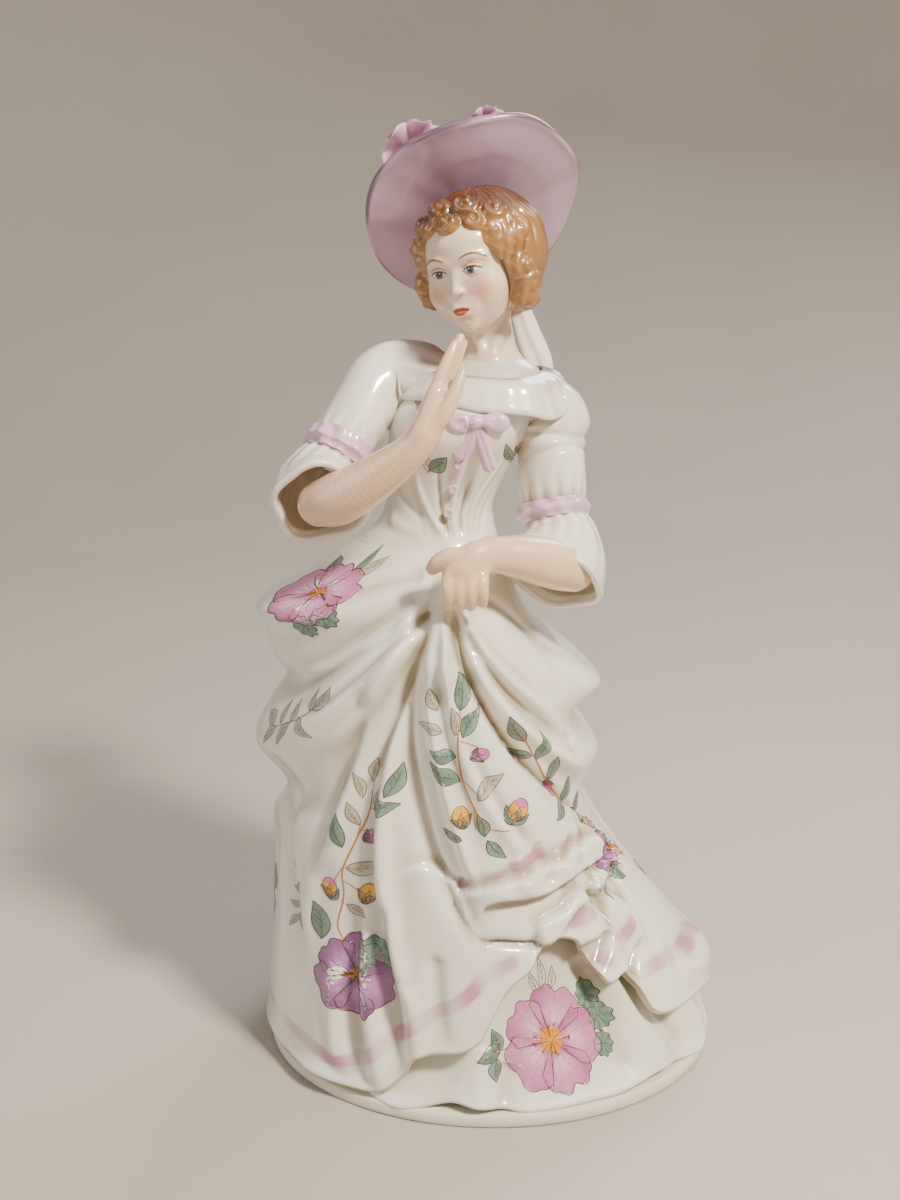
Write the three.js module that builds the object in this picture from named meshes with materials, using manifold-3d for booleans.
// A slip-cast porcelain lady in a wide hat, as the separate castings that are luted together.
// Millimetres, +Z up, front towards -Y. The group is set down with the middle of its bounding
// box's underside at the origin.
import * as THREE from "three";
import { mergeVertices } from "three/addons/utils/BufferGeometryUtils.js";
import Module from "manifold-3d";

const wasm = await Module();
wasm.setup();

// ---------------------------------------------------------------- driving dimensions, mm
const LUTE_GAP = 0.35; // joint between two castings
const FACET_SLACK = 0.09; // how far a trimmed piece's facets may be merged
const WALL = 2.6; // drain-cast wall
const WAIST_Z = 116; // seam between skirt and bodice
const BODICE_TOP_Z = 153;
const LEAN = -10.5; // how far the waist stands to her right of the base's middle
const PLINTH = { rx: 51, ry: 41.8, height: 3, holeX: 30, holeY: 22 };
const PETTICOAT_TOP_Z = 64;
const SKIRT_SPACE = 1.1; // between the petticoat and the overskirt's lining
const OVERSKIRT_LIFT = 3; // least that the overskirt's outside stands off the petticoat
const COLUMNS = 54; // facets round a skirt
const OVERSKIRT_ROWS = 19;
const HEAD = { at: [-4, -3.6, 172], wide: 9.6, deep: 10.6, high: 11.6, yaw: -25, roll: 12, nod: 6 };
const NECK = [[-0.6, 0.8, 149.6, 7.2], [-1, 0.6, 155.4, 5.6], [-2.4, 0, 164, 5.4]];
const HAT = { at: [-3.5, 8, 182.7], brim: 23.4, crown: 12.6, depth: 12, thick: 1.7, tip: 42.5,
  swing: -20.5 };
const SLEEVE_WALL = 1.7;
const CAVITY = { rx: 6, ry: 5, top: 141 }; // drain cavity up the middle of the bodice
const BUTTON_RADIUS = 1.05;

const rad = THREE.MathUtils.degToRad;
const { clamp, lerp } = THREE.MathUtils;
const vec = (p) => new THREE.Vector3(...p);
const TURN = 2 * Math.PI;

// A smooth function through [place, value] pairs, level beyond its ends.
function curve(pairs) {
  const x = pairs.map((p) => p[0]);
  const y = pairs.map((p) => p[1]);
  const last = x.length - 1;
  const slope = x.map((_, i) => {
    const a = Math.max(i - 1, 0);
    const b = Math.min(i + 1, last);
    return (y[b] - y[a]) / (x[b] - x[a]);
  });
  return (at) => {
    if (at <= x[0]) return y[0];
    if (at >= x[last]) return y[last];
    let i = 0;
    while (x[i + 1] < at) i++;
    const h = x[i + 1] - x[i];
    const t = (at - x[i]) / h;
    const rise = (3 - 2 * t) * t * t;
    return (
      lerp(y[i], y[i + 1], rise) +
      t * (1 - t) * h * ((1 - t) * slope[i] - t * slope[i + 1])
    );
  };
}

// ---------------------------------------------------------------- solids from geometry
function solid(geometry) {
  const bare = new THREE.BufferGeometry();
  bare.setAttribute("position", geometry.getAttribute("position").clone());
  if (geometry.index) bare.setIndex(geometry.index.clone());
  const merged = mergeVertices(bare, 1e-3);
  const triVerts = new Uint32Array(merged.index.array);
  const vertProperties = merged.attributes.position.array;
  let made = new wasm.Manifold(new wasm.Mesh({ numProp: 3, vertProperties, triVerts }));
  if (made.volume() < 0) {
    for (let i = 0; i < triVerts.length; i += 3) {
      [triVerts[i + 1], triVerts[i + 2]] = [triVerts[i + 2], triVerts[i + 1]];
    }
    made = new wasm.Manifold(new wasm.Mesh({ numProp: 3, vertProperties, triVerts }));
  }
  return made;
}

// The largest body of a solid, thinned: trimming can leave slivers beside it.
const largest = (made) =>
  made
    .simplify(FACET_SLACK)
    .decompose()
    .reduce((best, body) => (body.volume() > best.volume() ? body : best));

const trimmed = (made, ...cutters) =>
  largest(cutters.reduce((left, cutter) => left.subtract(cutter), made));

const joined = (first, ...more) => more.reduce((sum, next) => sum.add(next), first);

// Rings of equal count skinned into a closed surface, with fan caps or joined end to end.
function loft(rings, endToEnd = false) {
  const count = rings[0].length;
  const points = rings.flat();
  const faces = [];
  const spans = endToEnd ? rings.length : rings.length - 1;
  for (let i = 0; i < spans; i++) {
    const next = (i + 1) % rings.length;
    for (let j = 0; j < count; j++) {
      const k = (j + 1) % count;
      const [a, b, c, d] = [i * count + j, i * count + k, next * count + k, next * count + j];
      faces.push(a, b, c, a, c, d);
    }
  }
  if (!endToEnd) {
    for (const [ring, outward] of [[0, false], [rings.length - 1, true]]) {
      const middle = rings[ring].reduce((sum, p) => sum.add(p), new THREE.Vector3());
      points.push(middle.divideScalar(count));
      for (let j = 0; j < count; j++) {
        const [a, b] = [ring * count + j, ring * count + ((j + 1) % count)];
        faces.push(...(outward ? [a, b, points.length - 1] : [b, a, points.length - 1]));
      }
    }
  }
  return new THREE.BufferGeometry().setFromPoints(points).setIndex(faces);
}

// A limb or roll: round sections along a smooth line, with rounded ends.
function limb(stations, { grow = 0, sides = 10, steps = 6 } = {}) {
  const line = new THREE.CatmullRomCurve3(stations.map((s) => vec(s)));
  const share = stations.map((_, i) => i / (stations.length - 1));
  const radius = curve(stations.map((s, i) => [share[i], s[3]]));
  const { tangents, normals, binormals } = line.computeFrenetFrames(steps, false);
  const rings = [];
  const ring = (i, along, size) => {
    const t = i / steps;
    const middle = line.getPoint(t).addScaledVector(tangents[i], along);
    rings.push(
      Array.from({ length: sides }, (_, j) => {
        const a = (TURN * j) / sides;
        return middle
          .clone()
          .addScaledVector(normals[i], Math.cos(a) * size)
          .addScaledVector(binormals[i], Math.sin(a) * size);
      }),
    );
  };
  const first = radius(0) + grow;
  const end = radius(1) + grow;
  for (const a of [75, 38]) ring(0, -Math.sin(rad(a)) * first * 0.8, Math.cos(rad(a)) * first);
  for (let i = 0; i <= steps; i++) ring(i, 0, radius(i / steps) + grow);
  for (const a of [38, 75]) ring(steps, Math.sin(rad(a)) * end * 0.8, Math.cos(rad(a)) * end);
  return solid(loft(rings));
}

// A hollow flared tube, open at both ends, with a scalloped mouth.
function flare(stations, { wall, scallops = 0, depth = 0, sides = 22, steps = 3, grow = 0 }) {
  const line = new THREE.CatmullRomCurve3(stations.map((s) => vec(s)));
  const radius = curve(stations.map((s, i) => [i / (stations.length - 1), s[3]]));
  const { tangents, normals, binormals } = line.computeFrenetFrames(steps, false);
  const ring = (i, inset) => {
    const t = i / steps;
    const push = i === 0 ? -grow : i === steps ? grow : 0;
    const middle = line.getPoint(t).addScaledVector(tangents[i], push);
    return Array.from({ length: sides }, (_, j) => {
      const a = (TURN * j) / sides;
      const wave = depth * t * t * Math.cos(a * scallops);
      const size = radius(t) + wave + grow - inset;
      return middle
        .clone()
        .addScaledVector(normals[i], Math.cos(a) * size)
        .addScaledVector(binormals[i], Math.sin(a) * size)
        .addScaledVector(tangents[i], wave);
    });
  };
  const outer = Array.from({ length: steps + 1 }, (_, i) => ring(i, 0));
  const inner = Array.from({ length: steps + 1 }, (_, i) => ring(steps - i, wall + 2 * grow));
  return solid(loft([...outer, ...inner], true));
}

function ball(at, radii, turn = [0, 0, 0], detail = 12) {
  const g = new THREE.SphereGeometry(1, detail, Math.round(detail * 0.7));
  g.scale(...radii);
  g.applyMatrix4(new THREE.Matrix4().makeRotationFromEuler(new THREE.Euler(...turn.map(rad))));
  g.translate(...at);
  return solid(g);
}

// ---------------------------------------------------------------- skirts
// How far a surface stands from the leaning middle line, at her left, right, front and back.
const quarters = ({ right, left, front, back }) => {
  const [r, l, f, b] = [right, left, front, back].map(curve);
  return (angle, z) => {
    const across = Math.cos(angle) < 0 ? l(z) : r(z);
    const deep = Math.sin(angle) < 0 ? f(z) : b(z);
    return 1 / Math.hypot(Math.cos(angle) / across, Math.sin(angle) / deep);
  };
};

// Angles run from the viewer's right (0) by the back (90) and left (180) to the front (270).
const drape = quarters({
  left: [[3, 51.8], [20, 48.8], [40, 45.2], [60, 42.6], [80, 40.8], [95, 40.8], [102, 39], [106, 34],
    [110, 27], [116, 17.5]],
  right: [[3, 51.6], [12, 51], [20, 48.6], [30, 42], [40, 34.8], [52, 27.6], [65, 25.8], [76, 26.6],
    [83, 29.4], [89, 26], [93, 22.4], [98, 18], [106, 14.5], [116, 11.5]],
  front: [[3, 41.2], [20, 38.6], [40, 35.5], [60, 33], [80, 30.5], [95, 28], [103, 25.5], [108, 21.5],
    [112, 16.5], [116, 13]],
  back: [[3, 42.2], [20, 39.6], [40, 36], [60, 34.5], [80, 33.5], [95, 31.5], [102, 28.5], [108, 22],
    [112, 16], [116, 12.5]],
});
const petticoat = quarters({
  left: [[3, 47.5], [20, 44], [40, 40.5], [64, 37]],
  right: [[3, 50], [12, 46], [20, 42], [30, 35.5], [40, 29], [64, 22]],
  front: [[3, 40.4], [12, 36.8], [25, 33], [40, 30.5], [64, 27]],
  back: [[3, 38], [20, 35.5], [40, 32.5], [64, 30.5]],
});

// Each fold runs through [angle, z] places; it stands out by height and is that half-width.
const SKIRT_FOLDS = [
  { height: 2.4, width: 4.2, through: [[262, 108.5], [240, 106.5], [222, 103.5], [200, 101], [180, 101],
    [140, 100], [90, 97], [40, 89], [5, 83.5], [-20, 87], [-50, 93.5], [-80, 105]] },
  { height: -3, width: 4.6, through: [[261, 107.5], [240, 102], [225, 95], [205, 87], [180, 86],
    [140, 86], [90, 86], [40, 79], [5, 75.5], [-37, 81], [-70, 93], [-84, 105]] },
  { height: 4.4, width: 6.5, through: [[258, 103], [240, 93], [225, 84], [205, 74], [180, 72],
    [140, 72.5], [90, 74], [40, 71], [5, 69], [-30, 71], [-55, 79], [-72, 92]] },
  { height: -2, width: 5, through: [[252, 97], [243, 88], [228, 73], [212, 62], [180, 60.5], [140, 60],
    [90, 61], [40, 60], [0, 59.5], [-40, 65]] },
  { height: -1.9, width: 2.4, through: [[264, 105], [255, 97], [251, 84], [251, 75], [256, 59],
    [263, 47], [270, 38]] },
  { height: 1.7, width: 4, through: [[258, 100], [248, 87], [241.5, 67], [242, 50], [247, 38],
    [256, 26]] },
  { height: 1.5, width: 3, through: [[264, 103], [262, 92], [265, 72], [269, 59], [274, 50]] },
  { height: -1.7, width: 3.6, through: [[203, 72], [197, 58], [199, 46], [207, 34], [213, 18], [218, 6]] },
  { height: -1.7, width: 2.8, through: [[224, 27], [230, 14], [235, 5]] },
  { height: -1.9, width: 2.6, through: [[236, 36], [240, 25], [242.5, 7]] },
  { height: 5.5, width: 4, through: [[273, 110], [271, 104], [269, 95]] },
  { height: 3, width: 4.5, through: [[335, 25], [350, 21], [365, 19], [378, 20]] },
];
const BACK_FLUTES = { first: 20, step: 25, count: 7, height: 1.8, width: 5, top: 52 };
for (let i = 0; i < BACK_FLUTES.count; i++) {
  const at = BACK_FLUTES.first + i * BACK_FLUTES.step;
  const { height, width, top } = BACK_FLUTES;
  SKIRT_FOLDS.push({ height, width, through: [[at + 4, top], [at, 25], [at - 3, 4]] });
}

// Layers of cloth that lie proud: an outline in [angle, z], and how far it stands out.
const CLOTH_LAYERS = [
  { height: 1.4, outline: [[266, 106], [270, 99], [274, 91.5], [282, 82.5], [293, 73.5], [313, 63],
    [338, 51], [342, 46.5], [325, 49.6], [302, 49], [283, 48.4], [271.5, 45.5], [262, 50], [255, 62],
    [252, 75], [254, 94]] },
  { height: 0.9, outline: [[342, 50], [332, 46], [310, 43], [298, 39.8], [290, 37.5], [270.5, 39.5],
    [266, 46], [300, 54]] },
  { height: 0.9, outline: [[343, 46.5], [341, 39], [339, 31.5], [321, 26], [308, 26], [309, 29.5],
    [319, 36], [314, 43], [330, 48]] },
];

const LAYER_EDGE = 3; // half the width over which a layer's edge rises
const UNROLL = 38; // mm of cloth per radian, for distances on the skirt
const onCloth = ([angle, z]) => new THREE.Vector2(rad(angle) * UNROLL, z);

const foldLines = SKIRT_FOLDS.map(({ through, ...fold }) => ({
  ...fold,
  points: new THREE.SplineCurve(through.map(onCloth)).getPoints(through.length * 4),
}));

function gapToLine(points, at) {
  let best = Infinity;
  const leg = new THREE.Vector2();
  const reach = new THREE.Vector2();
  for (let i = 0; i + 1 < points.length; i++) {
    leg.subVectors(points[i + 1], points[i]);
    reach.subVectors(at, points[i]);
    const t = clamp(reach.dot(leg) / leg.lengthSq(), 0, 1);
    best = Math.min(best, reach.addScaledVector(leg, -t).length());
  }
  return best;
}

function inside(outline, at) {
  let hit = false;
  outline.forEach((a, i) => {
    const b = outline[(i + 1) % outline.length];
    if (a.y > at.y !== b.y > at.y && at.x < a.x + ((at.y - a.y) * (b.x - a.x)) / (b.y - a.y)) {
      hit = !hit;
    }
  });
  return hit;
}

const layers = CLOTH_LAYERS.map(({ height, outline }) => ({ height, outline: outline.map(onCloth) }));

function relief(angle, z) {
  let sum = 0;
  const degrees = THREE.MathUtils.radToDeg(angle);
  for (const turns of [-360, 0, 360]) {
    const at = onCloth([degrees + turns, z]);
    for (const { height, width, points } of foldLines) {
      const gap = gapToLine(points, at) / width;
      if (gap < 3) sum += height * Math.exp(-gap * gap);
    }
    for (const { height, outline } of layers) {
      const proud = (inside(outline, at) ? 1 : -1) * gapToLine([...outline, outline[0]], at);
      sum += height * THREE.MathUtils.smoothstep(proud, -LAYER_EDGE, LAYER_EDGE);
    }
  }
  return sum * clamp((WAIST_Z - z) / 6, 0, 1);
}

// The overskirt's hem: on the plinth at the back and left, caught up at the front.
const overHem = curve([
  [0, 9], [18, 5], [40, 4], [228, 4], [238, 5], [245, 9.5], [249, 14], [262, 16], [268, 18.5], [272, 23],
    [277, 28.5],
  [285, 32.5], [291, 36.5], [302, 36.5], [306, 31], [309, 27], [318, 27], [321, 19], [326, 16.5],
    [346, 15], [360, 9],
]);
const underHem = (angle) => PLINTH.height + LUTE_GAP + 0.9 * (1 + Math.sin(7 * angle + 0.6));
const degreesOf = (angle) => ((THREE.MathUtils.radToDeg(angle) % 360) + 360) % 360;
const middleX = (z) => (LEAN * z) / WAIST_Z;

function around(z, radiusAt) {
  return Array.from({ length: COLUMNS }, (_, j) => {
    const angle = (TURN * j) / COLUMNS;
    const height = z(angle);
    const r = radiusAt(angle, height);
    return new THREE.Vector3(middleX(height) + r * Math.cos(angle), r * Math.sin(angle), height);
  });
}

const petticoatAt = (angle, z) => petticoat(angle,
  z) + 0.8 * Math.sin(7 * angle + 0.6) * clamp(1 - z / 30, 0, 1);
const overskirtAt = (angle, z) => {
  const least = z < PETTICOAT_TOP_Z + 8 ? petticoatAt(angle, z) + OVERSKIRT_LIFT : 0;
  return Math.max(drape(angle, z) + relief(angle, z), least);
};
const overskirtInner = (angle, z) => {
  const clear = z < PETTICOAT_TOP_Z + 8 ? petticoatAt(angle, z) + SKIRT_SPACE : 0;
  const lining = drape(angle, Math.min(z + WALL, WAIST_Z)) - 2 * WALL;
  return Math.max(clear, Math.min(lining, overskirtAt(angle, z) - WALL * 0.7));
};

const climb = (from, top, share) => (angle) => lerp(from(angle), top, share);
const shares = (rows) => Array.from({ length: rows + 1 }, (_, i) => i / rows);

function buildPlinth() {
  const { rx, ry, height, holeX, holeY } = PLINTH;
  const oval = (x, y, z) =>
    Array.from({ length: 40 }, (_, j) => {
      const a = (TURN * j) / 40;
      return new THREE.Vector3(x * Math.cos(a), y * Math.sin(a), z);
    });
  const chamfer = 0.6;
  return solid(
    loft(
      [
        oval(holeX, holeY, 0),
        oval(rx - chamfer, ry - chamfer, 0),
        oval(rx, ry, chamfer),
        oval(rx, ry, height - chamfer),
        oval(rx - chamfer, ry - chamfer, height),
        oval(holeX, holeY, height),
      ],
      true,
    ),
  );
}

function buildPetticoat() {
  const up = shares(6).map((t) => around(climb(underHem, PETTICOAT_TOP_Z, t), petticoatAt));
  const down = shares(2).map((t) =>
    around(climb(underHem, PETTICOAT_TOP_Z, 1 - t), (a, z) => petticoatAt(a, z) - WALL),
  );
  return largest(solid(loft([...up, ...down], true)));
}

const hemAt = (angle) => overHem(degreesOf(angle));

function buildOverskirt() {
  const up = shares(OVERSKIRT_ROWS).map((t) => around(climb(hemAt, WAIST_Z, t), overskirtAt));
  const down = shares(6).map((t) => around(climb(hemAt, WAIST_Z, 1 - t), overskirtInner));
  return largest(solid(loft([...up, ...down], true)));
}

// The overskirt's outside as a filled, slightly larger solid, for trimming what rests on it.
function overskirtMould(grow) {
  const rows = shares(OVERSKIRT_ROWS).map((t) =>
    around(climb(hemAt, WAIST_Z + grow, t), (a, z) => overskirtAt(a, z) + grow),
  );
  return solid(loft(rows));
}

// ---------------------------------------------------------------- bodice, neck and head
// Sections of the bodice: height, middle x, and reach to left, right, front and back.
const BODICE_SECTIONS = [
  [WAIST_Z + LUTE_GAP, -10.5, 17.3, 11.5, 13, 12.5],
  [119, -10.8, 14, 11.1, 12, 11.6],
  [122.5, -11, 12.2, 11, 11.5, 11],
  [127, -10.3, 12.5, 11.8, 12.2, 11],
  [132, -8.8, 13.8, 13, 14.2, 11],
  [138, -7, 15.2, 14.5, 16.4, 11],
  [143, -5.5, 15.6, 14.6, 15.2, 11],
  [148, -3.2, 14.5, 13.5, 11, 10],
  [151, -1.5, 11.5, 11, 8.6, 8.8],
  [BODICE_TOP_Z, -0.5, 7.6, 7.6, 6.4, 7],
];

function bodiceSolid(grow = 0) {
  const columns = [1, 2, 3, 4, 5].map((k) => curve(BODICE_SECTIONS.map((s) => [s[0], s[k]])));
  const rings = shares(11).map((t) => {
    const z = lerp(BODICE_SECTIONS[0][0], BODICE_TOP_Z, t);
    const [mid, left, right, front, back] = columns.map((f) => f(z));
    return Array.from({ length: 28 }, (_, j) => {
      const a = (TURN * j) / 28;
      const across = (Math.cos(a) < 0 ? left : right) + grow;
      const deep = (Math.sin(a) < 0 ? front : back) + grow;
      const lift = t === 1 ? grow : t === 0 ? -grow : 0;
      return new THREE.Vector3(mid + across * Math.cos(a), deep * Math.sin(a), z + lift);
    });
  });
  return solid(loft(rings));
}

const HEAD_TURN = [HEAD.nod, -HEAD.roll, HEAD.yaw];
const headEuler = new THREE.Euler(...HEAD_TURN.map(rad));
const place = (p) => vec(p).applyEuler(headEuler).add(vec(HEAD.at)).toArray();

function headSolid(grow = 0) {
  const { wide, deep, high } = HEAD;
  const skull = ball(place([0, 0.4, 1.2]), [wide + grow, deep + grow, high + grow], HEAD_TURN, 18);
  const jaw = ball(place([0, -4.6, -6.2]), [7.2 + grow, 6.2 + grow, 6.6 + grow], HEAD_TURN, 14);
  const nose = ball(place([0, -10.6, -2]), [1.3 + grow, 1.9 + grow, 2.4 + grow], HEAD_TURN, 8);
  const neck = limb(NECK, { grow, steps: 4 });
  return joined(skull, jaw, nose, neck);
}

function hairSolid(grow = 0) {
  const crown = ball(place([1, 2.8, 2]), [13.8 + grow, 12.8 + grow, 13.2 + grow], HEAD_TURN, 16);
  const curls = [-54, -27, 0, 27, 54].map((a) => {
    const at = [Math.sin(rad(a)) * 9.4, -8.2 + Math.abs(a) * 0.07, 0.6 + Math.cos(rad(a)) * 8];
    return ball(place(at), [3.2 + grow, 2.4 + grow, 2.6 + grow], HEAD_TURN, 8);
  });
  return joined(crown, ...curls);
}

function faceWindow() {
  return ball(place([0, -10.5, -4.6]), [9.4, 9, 10.8], HEAD_TURN, 16);
}

const bunSolid = (grow = 0) =>
  joined(
    ball([4.6, 8.6, 167.5], [5 + grow, 4.6 + grow, 5 + grow], [0, 0, 0], 12),
    ball([-1.2, 10.2, 166.5], [5 + grow, 4.4 + grow, 4.8 + grow], [0, 0, 0], 12),
  );

// ---------------------------------------------------------------- hat
// Hat pieces are turned about their own axis, which points up and back out of the crown.
const hatLean = new THREE.Euler(rad(-HAT.tip), rad(HAT.swing), 0, "YXZ");
const hatPoint = (p) => vec(p).applyEuler(hatLean).add(vec(HAT.at)).toArray();
function onHat(geometry) {
  geometry.applyMatrix4(new THREE.Matrix4().makeRotationFromEuler(hatLean));
  geometry.translate(...HAT.at);
  return geometry;
}

function turned(profile, segments = 32) {
  const g = new THREE.LatheGeometry(profile.map((p) => new THREE.Vector2(...p)), segments);
  g.rotateX(Math.PI / 2); // the lathe's own axis is Y
  return g;
}

// The brim's wave, which grows towards the edge.
function waved(geometry) {
  const p = geometry.getAttribute("position");
  for (let i = 0; i < p.count; i++) {
    const [x, y] = [p.getX(i), p.getY(i)];
    const out = Math.hypot(x, y) / HAT.brim;
    const a = Math.atan2(y, x);
    p.setZ(i, p.getZ(i) + out ** 3 * (1.3 * Math.sin(2 * a + 0.6) + 0.7 * Math.sin(5 * a)));
  }
  return geometry;
}

function brimSolid(grow = 0) {
  const { brim, crown, thick } = HAT;
  const low = -grow;
  const high = thick + grow;
  const profile = [
    [crown - 5 - grow, low - 0.6], [crown + 3, low], [lerp(crown, brim, 0.7), low + 0.8],
    [brim - 0.6 + grow, low + 1.2], [brim + grow, thick / 2 + 1.2], [brim - 0.6 + grow, high + 1.2],
    [lerp(crown, brim, 0.7), high + 0.8], [crown + 3, high], [crown - 5 - grow, high - 0.6],
  ];
  return solid(onHat(waved(turned([...profile, profile[0]], 48))));
}

function crownSolid(grow = 0) {
  const { crown, depth, thick } = HAT;
  const base = thick + LUTE_GAP - grow;
  const profile = [[0, base], [crown + grow, base]];
  for (const a of [15, 30, 45, 60, 75]) {
    profile.push([(crown + grow) * Math.cos(rad(a)) ** 0.6, base + (depth + grow) * Math.sin(rad(a))]);
  }
  profile.push([0, base + depth + 2 * grow]);
  return solid(onHat(turned(profile)));
}

function hatBandSolid(grow = 0) {
  const { crown, thick } = HAT;
  const base = thick + 2 * LUTE_GAP - grow;
  const inner = crown - 0.8;
  const outer = crown + 1.5 + grow;
  const top = base + 4 + 2 * grow;
  const profile = [[inner, base], [outer, base], [outer + 0.3, base + 2], [outer - 0.5, top],
    [inner, top]];
  return solid(onHat(turned([...profile, profile[0]])));
}

// A rose: a bud with whorls of petals round it, lying on the brim.
function roseSolid(at, size, grow = 0) {
  const petals = [0, 72, 144, 216, 288].map((a) =>
    ball(
      hatPoint([at[0] + Math.cos(rad(a)) * size * 0.52, at[1] + Math.sin(rad(a)) * size * 0.52,
        at[2] + size * 0.2]),
      [size * 0.55 + grow, size * 0.55 + grow, size * 0.42 + grow],
      [-HAT.tip, 0, 0],
      8,
    ),
  );
  return joined(ball(hatPoint([at[0], at[1], at[2] + size * 0.4]),
    [size * 0.5 + grow, size * 0.5 + grow, size * 0.5 + grow], [0, 0, 0], 8), ...petals);
}
const ROSE_LARGE = { at: [-13.5, -11.5, 4.2], size: 5.6 };
const ROSE_SMALL = { at: [7, -15, 2.6], size: 3.6 };
const BOW_BACK = { at: [3, 15.5, 3.2], size: 4.4 };

const ribbonTail = (grow = 0) =>
  limb([[5, 9.2, 165.5, 2.1], [7.4, 9.2, 158, 2.3], [10, 9, 151.5, 2.6], [12, 9.6, 147, 2.2]],
    { grow, sides: 10, steps: 6 });

// ---------------------------------------------------------------- arms
const RIGHT_ARM = {
  sleeve: [[-13, 1, 148.4, 7], [-21.5, 1, 148.8, 7.3], [-26, -2, 144.4, 7], [-30.2, -6, 137.6, 6.7],
    [-32.8, -8.8, 133, 6.4]],
  band: [[-31.2, -7.2, 136, 7.9], [-33.2, -9.4, 132.6, 7.9]],
  cuff: [[-33.4, -9.6, 132, 6.8], [-35.4, -12, 128.2, 9], [-34.8, -16.5, 125.2, 10.8]],
  forearm: [[-35.2, -18, 125.2, 4.8], [-31, -20.4, 126.8, 5.5], [-24, -24, 131, 4.8],
    [-16.5, -27.2, 136.8, 3.5], [-13.4, -27.6, 141, 3.6]],
  palm: [[-13.2, -27.4, 141, 3.5], [-11.6, -26.4, 145.5, 3.5]],
  fingers: [
    [[-11.8, -26.6, 146, 1.6], [-10, -25, 151.4, 1.4], [-7.8, -23.2, 156, 1.1]],
    [[-11, -25.2, 146, 1.6], [-9, -23.4, 151.8, 1.4], [-6.8, -21.6, 156.8, 1.1]],
    [[-10.2, -23.8, 146, 1.5], [-8.2, -22, 151, 1.3], [-6.4, -20.4, 155.4, 1.05]],
    [[-9.6, -28.4, 142.5, 1.9], [-7.4, -27.6, 147, 1.5], [-6.6, -26.2, 151, 1.15]],
  ],
};
const LEFT_ARM = {
  sleeve: [[5, 1, 144, 6.4], [11, 1, 140.6, 8.4], [12, -1, 133.6, 7.5], [12.4, -3, 127, 6.9],
    [12.8, -4.6, 121.4, 6.4]],
  band: [[12.4, -4, 123.4, 7.9], [13, -5.2, 119.6, 7.9]],
  cuff: [[13.2, -5.4, 119, 6.8], [13.8, -8.4, 113.4, 9.4], [11.6, -12.6, 109, 11.4]],
  forearm: [[16, -16, 111.4, 4.6], [12, -18.6, 113, 5.3], [5, -22.6, 115.4, 4.8],
    [-2.2, -26.4, 116.8, 3.6], [-5.4, -28.4, 115.6, 3.6]],
  palm: [[-4.4, -28.4, 116, 3.6], [-6.4, -30, 112.8, 3.5]],
  fingers: [
    [[-3.2, -31, 113.6, 1.7], [-2.6, -31.4, 110.4, 1.5], [-3, -29.8, 107.8, 1.3]],
    [[-5.4, -31.8, 113.2, 1.8], [-4.9, -32.2, 109.8, 1.55], [-5.2, -30.4, 107.2, 1.3]],
    [[-7.6, -31.6, 112.8, 1.8], [-7.3, -32, 109.4, 1.5], [-7.4, -30.2, 106.8, 1.3]],
    [[-9.6, -30.8, 112.4, 1.7], [-9.6, -31, 109, 1.5], [-9.6, -29.4, 106.4, 1.25]],
    [[-7.2, -29.6, 116, 1.9], [-10.6, -29.2, 116.4, 1.6], [-14, -28, 115.4, 1.3]],
  ],
};

const sleeveSolid = (arm, grow = 0) => limb(arm.sleeve, { grow, sides: 14, steps: 7 });
const forearmSolid = (arm, grow = 0) =>
  joined(
    limb(arm.forearm, { grow }),
    limb(arm.palm, { grow, steps: 2, sides: 10 }),
    ...arm.fingers.map((f) => limb(f, { grow, sides: 6, steps: 3 })),
  );
const bandSolid = (arm, grow = 0) => flare(arm.band, { wall: 2.2, sides: 20, steps: 1, grow });
const cuffSolid = (arm, grow = 0) => flare(arm.cuff, { wall: SLEEVE_WALL, scallops: 6, depth: 0.7, grow });
const sleeveCore = (arm) => sleeveSolid(arm, LUTE_GAP);

// ---------------------------------------------------------------- collar, bow, buttons
// The collar is a folded band round the shoulders, dipping at the front.
function collarSolid(grow = 0) {
  const count = 26;
  const edge = (rx, ry, z, dip, cx, lift) =>
    Array.from({ length: count }, (_, j) => {
      const a = (TURN * j) / count;
      return new THREE.Vector3(cx + rx * Math.cos(a), -0.5 + ry * Math.sin(a),
        z + dip * Math.sin(a) + lift);
    });
  const rings = [
    edge(9.4 - grow, 8.2 - grow, 151.6, 1.4, -0.4, grow),
    edge(14 + grow, 11 + grow, 150.6, 1.8, -1.4, 1.2 + grow),
    edge(18.2 + grow, 14.4 + grow, 147, 2.4, -2.4, grow),
    edge(17.6 + grow, 14.6 + grow, 144.4, 2.6, -2.6, -grow),
    edge(12.5, 9.6, 147, 1.8, -1.6, -1.6 - grow),
    edge(9.4 - grow, 8 - grow, 149.4, 1.4, -0.4, -grow),
  ];
  return solid(loft(rings, true));
}

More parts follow.
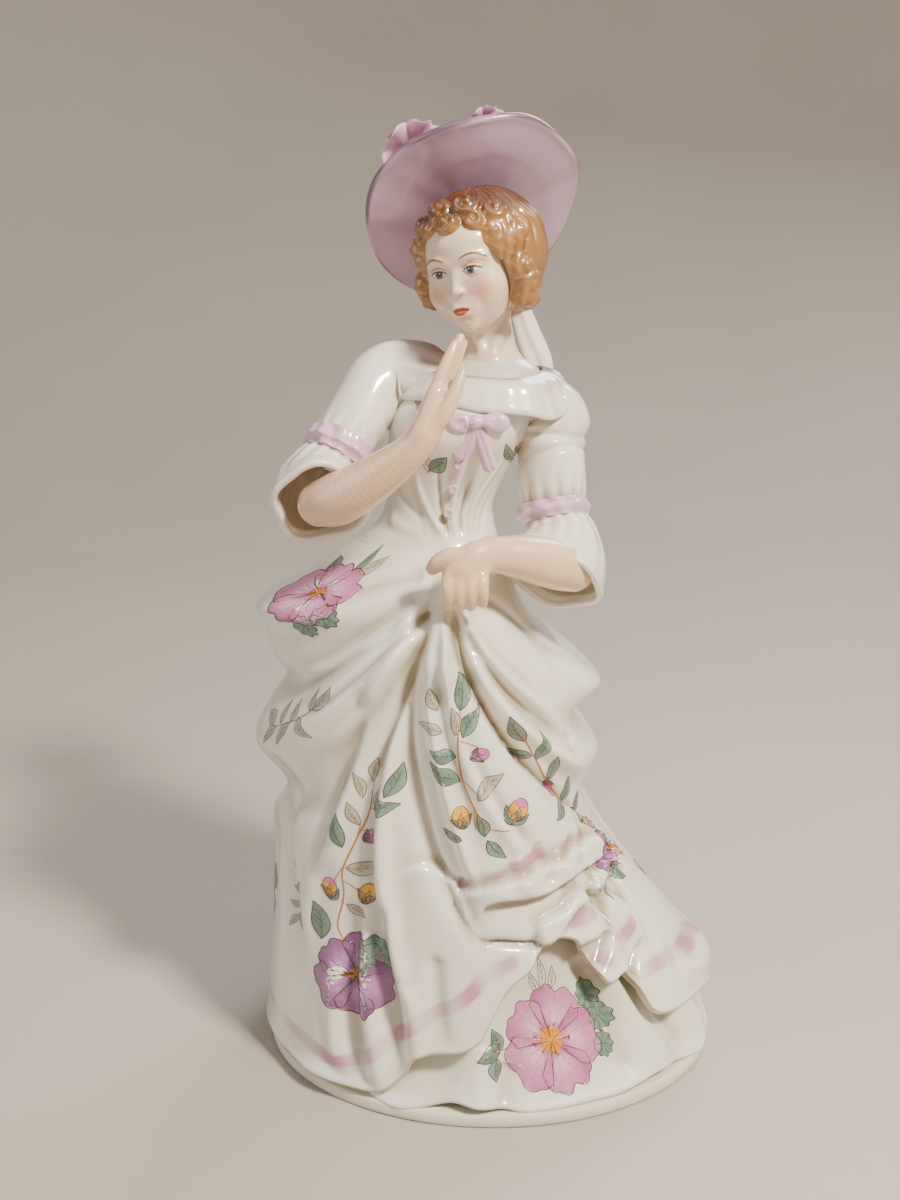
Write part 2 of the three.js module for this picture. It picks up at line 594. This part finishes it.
const BOW_AT = [-4.2, -17.2, 141.4];
const bowPoint = (x, y, z) => [BOW_AT[0] + x, BOW_AT[1] + y, BOW_AT[2] + z];
const BOW_PARTS = {
  chest_bow_knot: () => ball(bowPoint(0, 0, 0), [1.7, 1.9, 1.6], [0, 0, 0], 10),
  chest_bow_loop_right: (g = 0) => limb([[...bowPoint(-1.4, 0.2, 0.2), 1 + g],
    [...bowPoint(-3.4, 0, 1), 1.7 + g], [...bowPoint(-4.8, 0.4, -0.4), 1.5 + g]], { sides: 8, steps: 4 }),
  chest_bow_loop_left: (g = 0) => limb([[...bowPoint(1.4, 0.2, 0), 1.1 + g],
    [...bowPoint(4.4, 0.6, 0.4), 2.2 + g], [...bowPoint(6.6, 1.4, -1.6), 2 + g]], { sides: 8, steps: 4 }),
  chest_bow_tail_right: () => limb([[...bowPoint(-1, 0.4, -1.2), 1], [...bowPoint(-2.2, 0.8, -4.4), 1.4],
    [...bowPoint(-2.6, 1.4, -6.2), 1.3]], { sides: 8, steps: 4 }),
  chest_bow_tail_left: () => limb([[...bowPoint(1, 0.4, -1.2), 1], [...bowPoint(1.9, 0.8, -4.8), 1.5],
    [...bowPoint(2.6, 2, -8.6), 1.5]], { sides: 8, steps: 4 }),
};
const BUTTONS = [[-7.4, -14.4, 132.6], [-8.6, -12.6, 127.4], [-9.6, -11.9, 122.4]];

// ---------------------------------------------------------------- colours and finishes
const glaze = (color, roughness = 0.14) => new THREE.MeshStandardMaterial({ color, roughness,
  metalness: 0 });
const FINISH = {
  white: glaze("#e4e0d3"),
  bisque: glaze("#d8d3c4", 0.5),
  skin: glaze("#e6cdb0", 0.22),
  lavender: glaze("#b698ab"),
  hair: glaze("#a06a2c", 0.2),
  pink: glaze("#d6a9c0"),
};

// ---------------------------------------------------------------- assembly
const figure = new THREE.Group();
function add(name, made, finish) {
  const { vertProperties, triVerts, numProp } = made.getMesh();
  const g = new THREE.BufferGeometry();
  const xyz = new Float32Array((vertProperties.length / numProp) * 3);
  for (let i = 0; i < xyz.length; i++) xyz[i] = vertProperties[Math.floor(i / 3) * numProp + (i % 3)];
  g.setAttribute("position", new THREE.BufferAttribute(xyz, 3));
  g.setIndex(new THREE.BufferAttribute(new Uint32Array(triVerts), 1));
  g.computeVertexNormals();
  const mesh = new THREE.Mesh(g, finish);
  mesh.name = name;
  figure.add(mesh);
}

const G = LUTE_GAP;
const head = headSolid();
const bodiceGrown = bodiceSolid(G);
const skirtGrown = overskirtMould(G);
const headGrown = headSolid(G);
const hair = trimmed(hairSolid(), headGrown, faceWindow());
const hairGrown = hairSolid(G);
const brim = trimmed(brimSolid(), hairGrown, headGrown);

add("base_plinth", buildPlinth(), FINISH.bisque);
add("petticoat_shell", buildPetticoat(), FINISH.white);
add("overskirt_shell", buildOverskirt(), FINISH.white);

const cavityWall = limb(
  [[-10.4, 0, WAIST_Z - 4, CAVITY.rx], [-9, 0, 128, CAVITY.rx],
    [-6.8, 0, CAVITY.top - CAVITY.rx, CAVITY.ry]],
  { sides: 12, steps: 4 },
);
add("bodice_shell", trimmed(bodiceSolid(), headGrown, cavityWall), FINISH.white);
add("head_and_neck", head, FINISH.skin);
add("hair_front", trimmed(hair, bunSolid(G)), FINISH.hair);
add("hair_bun", trimmed(bunSolid(), headGrown, brimSolid(G)), FINISH.hair);

add("hat_brim", trimmed(brim, bunSolid(G)), FINISH.lavender);
add("hat_crown", trimmed(crownSolid(), hairGrown, headGrown), FINISH.lavender);
add("hat_band", trimmed(hatBandSolid(), crownSolid(G), brimSolid(G), hairGrown, headGrown), FINISH.pink);
const roseGuards = [brimSolid(G), crownSolid(G), hatBandSolid(G)];
add("hat_rose_large", trimmed(roseSolid(ROSE_LARGE.at, ROSE_LARGE.size), ...roseGuards), FINISH.pink);
add("hat_rose_small", trimmed(roseSolid(ROSE_SMALL.at, ROSE_SMALL.size), ...roseGuards), FINISH.pink);
add("hat_ribbon_bow", trimmed(roseSolid(BOW_BACK.at, BOW_BACK.size), ...roseGuards, bunSolid(G)),
  FINISH.pink);

for (const [side, arm] of [["right", RIGHT_ARM], ["left", LEFT_ARM]]) {
  const forearmGrown = forearmSolid(arm, G);
  add(`${side}_sleeve`, trimmed(sleeveSolid(arm), bodiceGrown, headGrown), FINISH.white);
  const band = trimmed(bandSolid(arm), sleeveCore(arm), bodiceGrown);
  add(`${side}_sleeve_ribbon`, band, FINISH.pink);
  add(`${side}_cuff`, trimmed(cuffSolid(arm), sleeveCore(arm), bandSolid(arm, G), forearmGrown,
    skirtGrown, bodiceGrown), FINISH.white);
  add(`${side}_forearm_hand`, trimmed(forearmSolid(arm), sleeveCore(arm), skirtGrown, bodiceGrown),
    FINISH.skin);
}

const sleevesGrown = [RIGHT_ARM, LEFT_ARM].map((arm) => sleeveSolid(arm, G));
add("collar", trimmed(collarSolid(), bodiceGrown, headGrown, ...sleevesGrown, forearmSolid(RIGHT_ARM,
  G)), FINISH.white);
add("hat_ribbon_tail", trimmed(ribbonTail(), headGrown, brimSolid(G), bunSolid(G), hairGrown,
  bodiceGrown, collarSolid(G), ...sleevesGrown), FINISH.white);

const knotGrown = ball(BOW_AT, [1.7 + G, 1.9 + G, 1.6 + G], [0, 0, 0], 10);
const loopsGrown = [BOW_PARTS.chest_bow_loop_right(G), BOW_PARTS.chest_bow_loop_left(G)];
for (const [name, build] of Object.entries(BOW_PARTS)) {
  const guards = [bodiceGrown, collarSolid(G)];
  if (name !== "chest_bow_knot") guards.push(knotGrown);
  if (name.includes("tail")) guards.push(...loopsGrown);
  add(name, trimmed(build(), ...guards), FINISH.pink);
}
BUTTONS.forEach((at, i) => {
  add(`bodice_button_${i + 1}`, trimmed(ball(at, [BUTTON_RADIUS, 1.2, BUTTON_RADIUS],
    [0, 0, 0], 10), bodiceGrown), FINISH.pink);
});

// Set the figure down with its bounding box's underside centred on the origin.
const box = new THREE.Box3().setFromObject(figure);
const centre = box.getCenter(new THREE.Vector3());
figure.position.set(-centre.x, -centre.y, -box.min.z);

export default figure;
